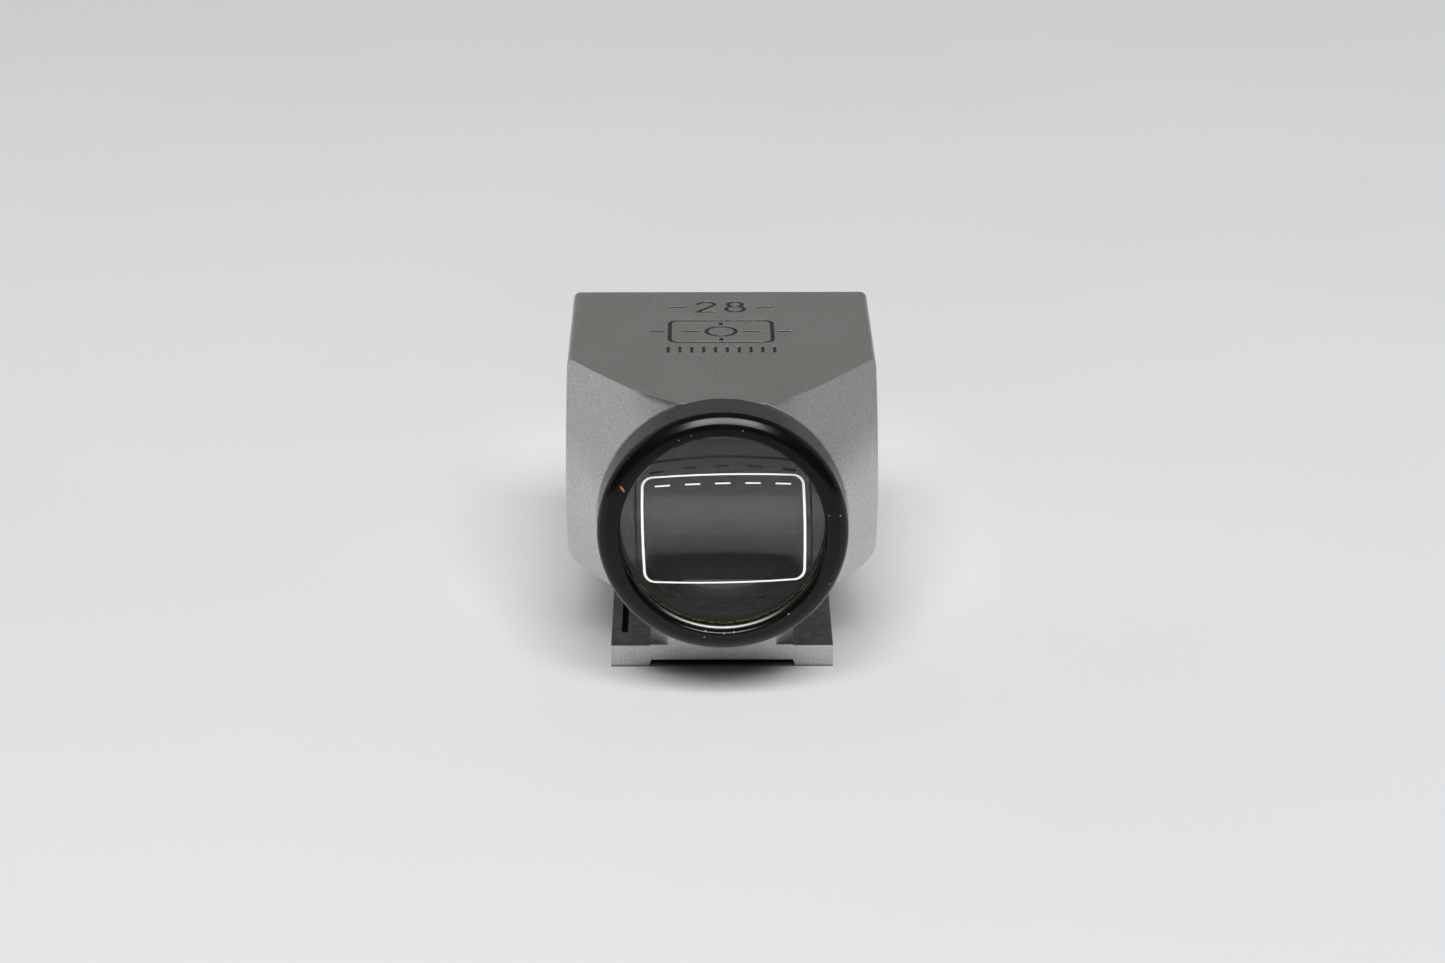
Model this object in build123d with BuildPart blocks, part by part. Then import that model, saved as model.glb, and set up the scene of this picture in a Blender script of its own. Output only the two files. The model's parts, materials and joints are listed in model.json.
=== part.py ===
from build123d import *
from math import cos, degrees, radians, sin
import os

# A shoe-mounted bright-line viewfinder, in millimetres.
# X is to the right, -Y is the eyepiece end, +Z is up.
# The origin is under the middle of the object, on the plane that the foot rests on.

# ---------------------------------------------------------------- driving dimensions
# housing
FRONT_Y = 17.09                # front face
BODY_HALF_W = 12.845
BODY_TOP = 25.23
BODY_BOTTOM = 8.38
BODY_MID = (BODY_TOP + BODY_BOTTOM) / 2
TOP_FILLET = 0.6
BOTTOM_FILLET = 1.57
FRONT_FILLET = 0.25
AXIS_Z = 15.58                 # height of the optical axis
COLLAR_Y = -12.68              # rear face of the collar
COLLAR_R = 10.2
COLLAR_LEN = 3.1
COLLAR_END = COLLAR_Y + COLLAR_LEN
CONE_R = 10.25                 # cone radius at the collar's rear face
CONE_SLOPE = 0.497             # radius gained for each millimetre forward
CONE_REACH = 17.5              # radius that clears the box's corners
CONE_REACH_Y = COLLAR_Y + (CONE_REACH - CONE_R) / CONE_SLOPE
CONE_WALL = 1.7                # wall of the cone, measured along the radius

# hollow of the housing
THREAD_BORE_R = 9.05
THREAD_BORE_END = -10.2
APERTURE_R = 7.9
TUNNEL_HALF_W = 10.9
TUNNEL_HALF_H = 6.6
SEAT_Y = 11.6                  # step that the objective rests on
POCKET_HALF_W = 11.55
POCKET_HALF_H = 7.175
POCKET_CHAMFER = 3.6           # the pocket's corners, left solid for the bezel screws
BEZEL_SEAT_Y = 15.87
POCKET_CORNER = 1.0

# eyepiece
RING_R = 10.12
RING_BACK_Y = -12.80
RING_CROWN_Y = -17.09
# outer rounding of the lip, from the ring's side to its crown: radius of each arc, and the
# lean of its outward direction from the axis, in degrees, where it starts and ends
RING_LIP_ARCS = ((0.76, 90, 41), (2.5, 41, 29), (1.2, 29, 0))
RING_LIP_INNER = 0.40          # inner rounding of the lip
RING_MOUTH_R = 8.30
RING_MOUTH_END = -16.45        # the bore is wider behind the lip
RING_BORE_R = 8.70
SPIGOT_R = 9.0
SPIGOT_END = -10.95
WASHER_R = 9.95
CELL_R = 8.68
CELL_FRONT_Y = -16.25
CELL_FLANGE_R = 9.0
CELL_FLANGE_Y = -10.90
CELL_POCKET_R = 8.50
CELL_LIP_R = 7.4
CELL_LIP_Y = -13.20            # step that the glass stack rests on
CELL_EDGE = 0.04
LENS_R = 8.46
LENS_EDGE_Y = -15.92
LENS_BACK_Y = -15.52
LENS_CURVE = 45.0
RETAINER_INNER_R = 8.27
RETAINER_BEVEL_R, RETAINER_BEVEL_Y = 0.14, 0.10    # bright bevel facing the eye
NOTCH_W, NOTCH_DEPTH = 0.8, 0.12
SPACER_INNER_R = 8.25
KEY_PIN_R = 0.4
KEY_PIN_HEIGHT = 8.47          # above the optical axis
KEY_PIN_DEPTH = 1.3
THREAD_RELIEF = 0.3

# framing lines, all on the eye side of the frame plate
PLATE_FRONT_Y = -15.20
PLATE_BACK_Y = CELL_LIP_Y
LINE_THICK = 0.04
FRAME_X, FRAME_Z = 0.08, -0.12         # middle of the frames, from the optical axis
FRAME_TURN = 1.1                       # degrees that the plate sits turned in its cell
FRAME_CORNER = 0.9
DASHES = 5
BRIGHT_HALF_W, BRIGHT_HALF_H = 6.54, 4.67
BRIGHT_LINE_W, BRIGHT_LINE_H = 0.20, 0.12      # thickness of its upright and level lines
BRIGHT_BOW_W, BRIGHT_BOW_H = 0.11, 0.21
BRIGHT_DASH_PITCH, BRIGHT_DASH_LEN, BRIGHT_DASH_LINE = 2.42, 1.22, 0.11
BRIGHT_DASH_UP, BRIGHT_DASH_BOW = 3.90, 0.0055
MASK_HALF_W, MASK_HALF_H, MASK_LINE = 7.08, 6.17, 0.17
MASK_BOW_W, MASK_BOW_H = 0.15, 0.62
MASK_DASH_PITCH, MASK_DASH_LEN, MASK_DASH_LINE = 2.65, 1.15, 0.17
MASK_DASH_UP, MASK_DASH_BOW = 5.37, 0.0152

# objective and bezel
GLASS_CLEAR = 0.05
REAR_GLASS_VERTEX = 13.5
REAR_GLASS_CURVE = 45.0
GLASS_JOIN_Y = 14.2
FRONT_GLASS_Y = 15.57
FRONT_GLASS_CURVE = 160.0
BEZEL_FRONT_Y = 17.0
BEZEL_HALF_W = 11.5
BEZEL_HALF_H = 7.125
WINDOW_HALF_W = 9.0
WINDOW_HALF_H = 5.0
WINDOW_CORNER = 1.6
WINDOW_BEVEL = 0.7
BEZEL_SCREW_X, BEZEL_SCREW_Z = 10.35, 6.0
BEZEL_HEAD_R, BEZEL_SHANK_R, BEZEL_SCREW_LEN = 0.95, 0.43, 2.4
SCREW_CLEAR = 0.02
GASKET_BACK = 0.6              # how far the gasket stands back from the window
FRONT_GLASS_VERTEX = 15.2

# lining
LINING_HALF_W = 10.85
LINING_HALF_H = 6.55
LINING_WALL = 0.4
LINING_BACK_Y = -2.6
STOP_THICK = 0.5
STOP_HALF_W = 8.6
STOP_HALF_H = 5.0

# foot
FOOT_HALF_W = 9.3
FOOT_BACK_Y = -7.20            # end of the foot nearer the eyepiece
FOOT_LEN = 18.0
FOOT_FRONT_Y = FOOT_BACK_Y + FOOT_LEN
FOOT_MID_Y = (FOOT_BACK_Y + FOOT_FRONT_Y) / 2
WING_T = 1.85
PAD_STEP = 0.06                # low land beside the neck
NECK_HALF_W = 5.98
NECK_CHAMFER_X, NECK_CHAMFER_Y = 1.48, 1.5
RECESS_HALF_W = 6.13           # at the runners' lower edge
RECESS_DEPTH = 0.55
RECESS_SLOPE = 0.20
FOOT_EDGE = 0.15
SLOT_X, SLOT_W, SLOT_END = -8.19, 0.52, 2.85
FOOT_SCREW_X, FOOT_SCREW_PITCH = 3.4, 11.0
FOOT_SCREW_TIP = 9.6
FOOT_HEAD_R, FOOT_SHANK_R = 1.5, 0.8

# engraving on the top face
ENGRAVE_DEPTH = 0.07
FILL_BELOW = 0.012
STROKE = 0.34

os.makedirs("parts", exist_ok=True)


def save(builder, name):
    """Label a finished piece and write it as its own STEP file."""
    builder.part.label = name
    export_step(builder.part, f"parts/{name}.step")


def across(y, z=AXIS_Z):
    """A plane across the optical axis at y: sketch x is X, sketch y is Z, normal is -Y."""
    return Plane(origin=(0, y, z), x_dir=(1, 0, 0), z_dir=(0, -1, 0))


# Half-section plane of turned pieces: sketch x is the radius and sketch y is Y.
TURN = Plane(origin=(0, 0, AXIS_Z), x_dir=(1, 0, 0), z_dir=(0, 0, 1))
OPTICAL_AXIS = Axis((0, 0, AXIS_Z), (0, 1, 0))

# Screws go in along these planes, which face out of the object.
FRONT_PLANE = Plane(origin=(0, BEZEL_FRONT_Y, BODY_MID), x_dir=(-1, 0, 0), z_dir=(0, 1, 0))
FOOT_SCREW_PLANE = Plane(origin=(0, FOOT_MID_Y, RECESS_DEPTH), x_dir=(1, 0, 0), z_dir=(0, 0, -1))


def cone_radius(y, inset=0.0):
    """Radius of the cone at y, less a wall."""
    return CONE_R + CONE_SLOPE * (y - COLLAR_Y) - inset


def glass_shape(half_w, half_h):
    """Outline of the front glass: a rectangle with its corners cut off."""
    with BuildSketch() as shape:
        Rectangle(2 * half_w, 2 * half_h)
        chamfer(shape.vertices(), POCKET_CHAMFER)
    return shape.sketch


# ---------------------------------------------------------------- engraving strokes
def engraved_marks():
    """Strokes of the marks: the focal length, a framing pictogram and a row of ticks."""
    number_y, number_h, digit_w = 12.6, 2.7, 1.5
    frame_y, frame_w, frame_h = 5.85, 8.7, 5.8
    ticks_y, tick_gap, tick_count = 1.0, 0.99, 10
    with BuildSketch() as marks:
        low, high = number_y - number_h / 2, number_y + number_h / 2
        bend = digit_w / 2
        # the figure 2
        left = -1.25 - digit_w / 2
        with BuildLine():
            top = ThreePointArc(
                (left, high - bend), (left + bend, high), (left + digit_w, high - bend)
            )
            Line(top @ 1, (left, low))
            Line((left, low), (left + digit_w, low))
        trace(line_width=STROKE)
        # the figure 8
        upper, lower = 0.62, 0.78
        for radius, centre in ((upper, high - upper), (lower, low + lower)):
            with Locations((1.25, centre)):
                Circle(radius + STROKE / 2)
        for radius, centre in ((upper, high - upper), (lower, low + lower)):
            with Locations((1.25, centre)):
                Circle(radius - STROKE / 2, mode=Mode.SUBTRACT)
        # a dash each side of the number
        with Locations((-3.75, number_y), (3.75, number_y)):
            Rectangle(1.5, STROKE)
        # the framing pictogram: a 3:2 frame, a ring and ticks in and beside it
        with Locations((0, frame_y)):
            RectangleRounded(frame_w + STROKE, frame_h + STROKE, 0.9)
            RectangleRounded(frame_w - STROKE, frame_h - STROKE, 0.6, mode=Mode.SUBTRACT)
            Circle(1.25 + STROKE / 2)
            Circle(1.25 - STROKE / 2, mode=Mode.SUBTRACT)
            with Locations((-2.6, 0), (2.6, 0)):
                Rectangle(1.5, STROKE)
            with Locations((0, 2.05), (0, -2.05)):
                Rectangle(STROKE, 0.9)
            with Locations((-5.4, 0), (5.4, 0)):
                Rectangle(1.2, STROKE)
        # a row of ticks
        with Locations((0, ticks_y)):
            with GridLocations(tick_gap, 0, tick_count, 1):
                Rectangle(STROKE * 0.8, 1.6)
    return marks.sketch


MARKS = engraved_marks()

# ---------------------------------------------------------------- housing
with BuildPart() as tunnel:
    # the hollow, kept inside the wall of the cone
    with BuildSketch(across(SEAT_Y, BODY_MID)):
        RectangleRounded(2 * TUNNEL_HALF_W, 2 * TUNNEL_HALF_H, POCKET_CORNER)
    extrude(amount=SEAT_Y - THREAD_BORE_END)
    with BuildSketch(TURN):
        with BuildLine():
            Polyline(
                (0, THREAD_BORE_END), (APERTURE_R, THREAD_BORE_END), (APERTURE_R, COLLAR_END),
                (cone_radius(COLLAR_END, CONE_WALL), COLLAR_END),
                (cone_radius(SEAT_Y, CONE_WALL), SEAT_Y), (0, SEAT_Y), close=True,
            )
        make_face()
    revolve(axis=OPTICAL_AXIS, mode=Mode.INTERSECT)

with BuildPart() as housing:
    # the box, with its long edges and its front edges rounded
    with BuildSketch(across(FRONT_Y, BODY_MID)):
        Rectangle(2 * BODY_HALF_W, BODY_TOP - BODY_BOTTOM)
    extrude(amount=FRONT_Y - COLLAR_Y)
    fillet(housing.edges().filter_by(Axis.Y).group_by(Axis.Z)[-1], TOP_FILLET)
    fillet(housing.edges().filter_by(Axis.Y).group_by(Axis.Z)[0], BOTTOM_FILLET)
    fillet(housing.faces().sort_by(Axis.Y)[-1].edges(), FRONT_FILLET)
    # turned down to a cone at the back
    with BuildSketch(TURN):
        with BuildLine():
            Polyline(
                (0, COLLAR_Y), (CONE_R, COLLAR_Y), (CONE_REACH, CONE_REACH_Y),
                (CONE_REACH, FRONT_Y + 1), (0, FRONT_Y + 1), close=True,
            )
        make_face()
    revolve(axis=OPTICAL_AXIS, mode=Mode.INTERSECT)
    # the round collar that carries the eyepiece, flat on top
    with BuildSketch(across(COLLAR_END)):
        Circle(COLLAR_R)
        with Locations((0, BODY_TOP - AXIS_Z + COLLAR_R)):
            Rectangle(2 * COLLAR_R, 2 * COLLAR_R, mode=Mode.SUBTRACT)
    extrude(amount=COLLAR_LEN)
    # threaded bore and hollow
    with BuildSketch(across(COLLAR_Y)):
        Circle(THREAD_BORE_R)
    extrude(amount=COLLAR_Y - THREAD_BORE_END, mode=Mode.SUBTRACT)
    add(tunnel.part, mode=Mode.SUBTRACT)
    # pocket for the glass, with solid corners, and the wider seat of the bezel
    with BuildSketch(across(FRONT_Y, BODY_MID)):
        add(glass_shape(POCKET_HALF_W, POCKET_HALF_H))
    extrude(amount=FRONT_Y - SEAT_Y, mode=Mode.SUBTRACT)
    with BuildSketch(across(FRONT_Y, BODY_MID)):
        RectangleRounded(2 * POCKET_HALF_W, 2 * POCKET_HALF_H, POCKET_CORNER)
    extrude(amount=FRONT_Y - BEZEL_SEAT_Y, mode=Mode.SUBTRACT)
    # threaded holes for the bezel screws, the foot screws and the key pin
    with BuildSketch(across(BEZEL_SEAT_Y, BODY_MID)):
        with GridLocations(2 * BEZEL_SCREW_X, 2 * BEZEL_SCREW_Z, 2, 2):
            Circle(BEZEL_SHANK_R + SCREW_CLEAR)
    extrude(amount=BEZEL_SCREW_LEN, mode=Mode.SUBTRACT)
    with BuildSketch(Plane.XY.offset(BODY_BOTTOM)):
        with Locations((0, FOOT_MID_Y)):
            with GridLocations(2 * FOOT_SCREW_X, FOOT_SCREW_PITCH, 2, 2):
                Circle(FOOT_SHANK_R + SCREW_CLEAR)
    extrude(amount=FOOT_SCREW_TIP + SCREW_CLEAR - BODY_BOTTOM, mode=Mode.SUBTRACT)
    with BuildSketch(across(THREAD_BORE_END)):
        with Locations((0, KEY_PIN_HEIGHT)):
            Circle(KEY_PIN_R + SCREW_CLEAR)
    extrude(amount=-KEY_PIN_DEPTH, mode=Mode.SUBTRACT)
    # engraving
    with BuildSketch(Plane.XY.offset(BODY_TOP)):
        add(MARKS)
    extrude(amount=-ENGRAVE_DEPTH, mode=Mode.SUBTRACT)
save(housing, "housing")

with BuildPart() as engraving_fill:
    with BuildSketch(Plane.XY.offset(BODY_TOP - FILL_BELOW)):
        add(MARKS)
    extrude(amount=FILL_BELOW - ENGRAVE_DEPTH)
save(engraving_fill, "engraving_fill")

# ---------------------------------------------------------------- eyepiece
with BuildPart() as eyepiece_ring:
    with BuildSketch(TURN):
        # points of the lip's outer rounding, from the crown back to the side
        lip = [(0, 0)]
        for radius, start, end in reversed(RING_LIP_ARCS):
            lip.append((
                lip[-1][0] + radius * (sin(radians(start)) - sin(radians(end))),
                lip[-1][1] + radius * (cos(radians(end)) - cos(radians(start))),
            ))
        crown_r = RING_R - lip[-1][0]
        lip = [(crown_r + out, RING_CROWN_Y + back) for out, back in reversed(lip)]
        with BuildLine():
            Polyline(
                (RING_MOUTH_R, RING_CROWN_Y + RING_LIP_INNER), (RING_MOUTH_R, RING_MOUTH_END),
                (RING_BORE_R, RING_MOUTH_END), (RING_BORE_R, SPIGOT_END),
                (SPIGOT_R, SPIGOT_END), (SPIGOT_R, RING_BACK_Y), (RING_R, RING_BACK_Y),
                lip[0],
            )
            for (radius, start, end), a, b in zip(RING_LIP_ARCS, lip, lip[1:]):
                RadiusArc(a, b, radius)
            Line((crown_r, RING_CROWN_Y), (RING_MOUTH_R + RING_LIP_INNER, RING_CROWN_Y))
            RadiusArc(
                (RING_MOUTH_R + RING_LIP_INNER, RING_CROWN_Y),
                (RING_MOUTH_R, RING_CROWN_Y + RING_LIP_INNER), RING_LIP_INNER,
            )
        make_face()
    revolve(axis=OPTICAL_AXIS)
    # fine thread relief at the root of the spigot
    with BuildSketch(TURN):
        with Locations((SPIGOT_R, RING_BACK_Y + THREAD_RELIEF / 2)):
            Rectangle(THREAD_RELIEF, THREAD_RELIEF)
    revolve(axis=OPTICAL_AXIS, mode=Mode.SUBTRACT)
save(eyepiece_ring, "eyepiece_ring")

with BuildPart() as eyepiece_washer:
    with BuildSketch(across(COLLAR_Y)):
        Circle(WASHER_R)
        Circle(THREAD_BORE_R, mode=Mode.SUBTRACT)
    extrude(amount=COLLAR_Y - RING_BACK_Y)
save(eyepiece_washer, "eyepiece_washer")

with BuildPart() as ocular_cell:
    with BuildSketch(TURN):
        with BuildLine():
            Polyline(
                (CELL_POCKET_R, CELL_FRONT_Y), (CELL_R - CELL_EDGE, CELL_FRONT_Y),
                (CELL_R, CELL_FRONT_Y + CELL_EDGE), (CELL_R, CELL_FLANGE_Y),
                (CELL_FLANGE_R, CELL_FLANGE_Y), (CELL_FLANGE_R, THREAD_BORE_END),
                (CELL_LIP_R, THREAD_BORE_END), (CELL_LIP_R, CELL_LIP_Y),
                (CELL_POCKET_R, CELL_LIP_Y), close=True,
            )
        make_face()
    revolve(axis=OPTICAL_AXIS)
    with BuildSketch(across(THREAD_BORE_END)):
        with Locations((0, KEY_PIN_HEIGHT)):
            Circle(KEY_PIN_R + SCREW_CLEAR)
    extrude(amount=THREAD_BORE_END - CELL_FLANGE_Y, mode=Mode.SUBTRACT)
save(ocular_cell, "ocular_cell")

with BuildPart() as cell_key_pin:
    with BuildSketch(across(THREAD_BORE_END + KEY_PIN_DEPTH - SCREW_CLEAR)):
        with Locations((0, KEY_PIN_HEIGHT)):
            Circle(KEY_PIN_R)
    extrude(amount=KEY_PIN_DEPTH - SCREW_CLEAR + THREAD_BORE_END - CELL_FLANGE_Y)
    chamfer(cell_key_pin.edges().filter_by(GeomType.CIRCLE), 0.08)
save(cell_key_pin, "cell_key_pin")

with BuildPart() as ocular_retaining_ring:
    with BuildSketch(TURN):
        with BuildLine():
            Polyline(
                (RETAINER_INNER_R + RETAINER_BEVEL_R, CELL_FRONT_Y),
                (CELL_POCKET_R - SCREW_CLEAR, CELL_FRONT_Y),
                (CELL_POCKET_R - SCREW_CLEAR, LENS_EDGE_Y - GLASS_CLEAR),
                (RETAINER_INNER_R, LENS_EDGE_Y - GLASS_CLEAR),
                (RETAINER_INNER_R, CELL_FRONT_Y + RETAINER_BEVEL_Y), close=True,
            )
        make_face()
    revolve(axis=OPTICAL_AXIS)
    # two spanner notches
    with BuildSketch(across(CELL_FRONT_Y)):
        Rectangle(2 * CELL_POCKET_R, NOTCH_W)
    extrude(amount=-NOTCH_DEPTH, mode=Mode.SUBTRACT)
save(ocular_retaining_ring, "ocular_retaining_ring")

with BuildPart() as ocular_lens:
    # convex towards the eye, flat behind
    with BuildSketch(TURN):
        lens_sag = LENS_CURVE - (LENS_CURVE**2 - LENS_R**2) ** 0.5
        with BuildLine():
            Polyline(
                (0, LENS_EDGE_Y - lens_sag), (0, LENS_BACK_Y), (LENS_R, LENS_BACK_Y),
                (LENS_R, LENS_EDGE_Y),
            )
            RadiusArc((LENS_R, LENS_EDGE_Y), (0, LENS_EDGE_Y - lens_sag), LENS_CURVE)
        make_face()
    revolve(axis=OPTICAL_AXIS)
save(ocular_lens, "ocular_lens")

with BuildPart() as frame_plate:
    with BuildSketch(across(PLATE_BACK_Y)):
        Circle(LENS_R)
    extrude(amount=PLATE_BACK_Y - PLATE_FRONT_Y)
    chamfer(frame_plate.edges().filter_by(GeomType.CIRCLE), 0.1)
save(frame_plate, "frame_plate")


def bowed_frame(half_w, half_h, bow_w, bow_h, line_w, line_h):
    """A rectangular frame line, its sides bowed outwards and its corners rounded."""
    with BuildSketch() as frame:
        for side, mode in ((0.5, Mode.ADD), (-0.5, Mode.SUBTRACT)):
            w, h = half_w + side * line_w, half_h + side * line_h
            corner_x, corner_z = w - bow_w, h - bow_h
            with BuildSketch(mode=Mode.PRIVATE) as outline:
                with BuildLine():
                    ThreePointArc((-corner_x, corner_z), (0, h), (corner_x, corner_z))
                    ThreePointArc((corner_x, corner_z), (w, 0), (corner_x, -corner_z))
                    ThreePointArc((corner_x, -corner_z), (0, -h), (-corner_x, -corner_z))
                    ThreePointArc((-corner_x, -corner_z), (-w, 0), (-corner_x, corner_z))
                make_face()
                fillet(outline.vertices(), FRAME_CORNER + side * line_h)
            add(outline.sketch, mode=mode)
    return frame.sketch


def dash_row(pitch, length, line, up, bow):
    """A row of short parallax dashes that follows the bow of a frame."""
    with BuildSketch() as dashes:
        for i in range(DASHES):
            x = (i - (DASHES - 1) / 2) * pitch
            with Locations((x, up - bow * x * x)):
                Rectangle(length, line, rotation=-degrees(2 * bow * x))
    return dashes.sketch


def on_plate(lines):
    """Framing lines moved to their place on the plate and held inside its rim."""
    with BuildSketch() as placed:
        with Locations(Location((FRAME_X, FRAME_Z, 0), (0, 0, FRAME_TURN))):
            add(lines)
        Circle(SPACER_INNER_R - 0.15, mode=Mode.INTERSECT)
    return placed.sketch


BRIGHT_FRAME = bowed_frame(BRIGHT_HALF_W, BRIGHT_HALF_H, BRIGHT_BOW_W, BRIGHT_BOW_H,
                           BRIGHT_LINE_W, BRIGHT_LINE_H)
BRIGHT_DASHES = dash_row(BRIGHT_DASH_PITCH, BRIGHT_DASH_LEN, BRIGHT_DASH_LINE,
                         BRIGHT_DASH_UP, BRIGHT_DASH_BOW)
MASK_FRAME = bowed_frame(MASK_HALF_W, MASK_HALF_H, MASK_BOW_W, MASK_BOW_H, MASK_LINE, MASK_LINE)
MASK_DASHES = dash_row(MASK_DASH_PITCH, MASK_DASH_LEN, MASK_DASH_LINE,
                       MASK_DASH_UP, MASK_DASH_BOW)

with BuildPart() as frame_lines:
    with BuildSketch(across(PLATE_FRONT_Y)):
        add(on_plate(BRIGHT_FRAME))
        add(on_plate(BRIGHT_DASHES))
    extrude(amount=LINE_THICK)
save(frame_lines, "frame_lines")

with BuildPart() as frame_mask:
    with BuildSketch(across(PLATE_FRONT_Y)):
        add(on_plate(MASK_FRAME))
        add(on_plate(MASK_DASHES))
    extrude(amount=LINE_THICK)
save(frame_mask, "frame_mask")

with BuildPart() as ocular_spacer:
    # between the framing plate and the lens
    with BuildSketch(across(PLATE_FRONT_Y - SCREW_CLEAR)):
        Circle(LENS_R)
        Circle(SPACER_INNER_R, mode=Mode.SUBTRACT)
    extrude(amount=PLATE_FRONT_Y - LENS_BACK_Y - 2 * SCREW_CLEAR)
save(ocular_spacer, "ocular_spacer")

# ---------------------------------------------------------------- lining and stop
with BuildPart() as light_lining:
    with BuildSketch(across(SEAT_Y, BODY_MID)):
        RectangleRounded(2 * LINING_HALF_W, 2 * LINING_HALF_H, POCKET_CORNER)
        RectangleRounded(
            2 * (LINING_HALF_W - LINING_WALL), 2 * (LINING_HALF_H - LINING_WALL),
            POCKET_CORNER - LINING_WALL, mode=Mode.SUBTRACT,
        )
    extrude(amount=SEAT_Y - LINING_BACK_Y)
save(light_lining, "light_lining")

with BuildPart() as glare_stop:
    with BuildSketch(across(LINING_BACK_Y, BODY_MID)):
        RectangleRounded(2 * LINING_HALF_W, 2 * LINING_HALF_H, POCKET_CORNER)
        RectangleRounded(2 * STOP_HALF_W, 2 * STOP_HALF_H, POCKET_CORNER, mode=Mode.SUBTRACT)
    extrude(amount=STOP_THICK)
save(glare_stop, "glare_stop")

# ---------------------------------------------------------------- objective and bezel
with BuildPart() as objective_rear_element:
    with BuildSketch(across(GLASS_JOIN_Y, BODY_MID)):
        add(glass_shape(POCKET_HALF_W - GLASS_CLEAR, POCKET_HALF_H - GLASS_CLEAR))
    extrude(amount=GLASS_JOIN_Y - SEAT_Y)
    # hollow towards the eye
    with Locations((0, REAR_GLASS_VERTEX - REAR_GLASS_CURVE, AXIS_Z)):
        Sphere(REAR_GLASS_CURVE, mode=Mode.SUBTRACT)
save(objective_rear_element, "objective_rear_element")

with BuildPart() as objective_front_element:
    with BuildSketch(across(FRONT_GLASS_Y, BODY_MID)):
        add(glass_shape(POCKET_HALF_W - GLASS_CLEAR, POCKET_HALF_H - GLASS_CLEAR))
    extrude(amount=FRONT_GLASS_Y - GLASS_JOIN_Y)
    with Locations((0, FRONT_GLASS_VERTEX + FRONT_GLASS_CURVE, AXIS_Z)):
        Sphere(FRONT_GLASS_CURVE, mode=Mode.SUBTRACT)
save(objective_front_element, "objective_front_element")

with BuildPart() as objective_gasket:
    with BuildSketch(across(BEZEL_SEAT_Y, BODY_MID)):
        add(glass_shape(POCKET_HALF_W - 2 * GLASS_CLEAR, POCKET_HALF_H - 2 * GLASS_CLEAR))
        RectangleRounded(
            2 * (WINDOW_HALF_W + GASKET_BACK), 2 * (WINDOW_HALF_H + GASKET_BACK),
            WINDOW_CORNER, mode=Mode.SUBTRACT,
        )
    extrude(amount=BEZEL_SEAT_Y - FRONT_GLASS_Y)
save(objective_gasket, "objective_gasket")

with BuildPart() as front_bezel:
    with BuildSketch(across(BEZEL_FRONT_Y, BODY_MID)):
        RectangleRounded(2 * BEZEL_HALF_W, 2 * BEZEL_HALF_H, POCKET_CORNER)
    extrude(amount=BEZEL_FRONT_Y - BEZEL_SEAT_Y)
    chamfer(front_bezel.faces().sort_by(Axis.Y)[-1].edges(), 0.15)
    # the window, its edge bevelled outwards
    with BuildSketch(across(BEZEL_FRONT_Y, BODY_MID)):
        RectangleRounded(2 * WINDOW_HALF_W, 2 * WINDOW_HALF_H, WINDOW_CORNER)
    extrude(amount=BEZEL_FRONT_Y - BEZEL_SEAT_Y, mode=Mode.SUBTRACT)
    window_edges = front_bezel.faces().sort_by(Axis.Y)[-1].inner_wires()[0].edges()
    chamfer(window_edges, WINDOW_BEVEL)
    with Locations(FRONT_PLANE):
        with GridLocations(2 * BEZEL_SCREW_X, 2 * BEZEL_SCREW_Z, 2, 2):
            CounterSinkHole(BEZEL_SHANK_R + SCREW_CLEAR, BEZEL_HEAD_R + SCREW_CLEAR)
save(front_bezel, "front_bezel")


def countersunk_screw(head_r, shank_r, length, slot_w, slot_depth):
    """A slotted countersunk screw with its head's flat at z = 0, pointing down."""
    with BuildPart() as screw:
        with BuildSketch(Plane.XZ):
            with BuildLine():
                Polyline(
                    (0, 0), (head_r, 0), (shank_r, shank_r - head_r), (shank_r, shank_r / 2 - length),
                    (shank_r / 2, -length), (0, -length), close=True,
                )
            make_face()
        revolve(axis=Axis.Z)
        Box(2 * head_r, slot_w, 2 * slot_depth, mode=Mode.SUBTRACT)
    return screw.part


bezel_screw = countersunk_screw(
    BEZEL_HEAD_R, BEZEL_SHANK_R, BEZEL_FRONT_Y - BEZEL_SEAT_Y + BEZEL_SCREW_LEN - 0.1, 0.25, 0.25
)
with BuildPart() as bezel_screws:
    with Locations(FRONT_PLANE):
        with GridLocations(2 * BEZEL_SCREW_X, 2 * BEZEL_SCREW_Z, 2, 2):
            add(bezel_screw)
save(bezel_screws, "bezel_screws")

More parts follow.
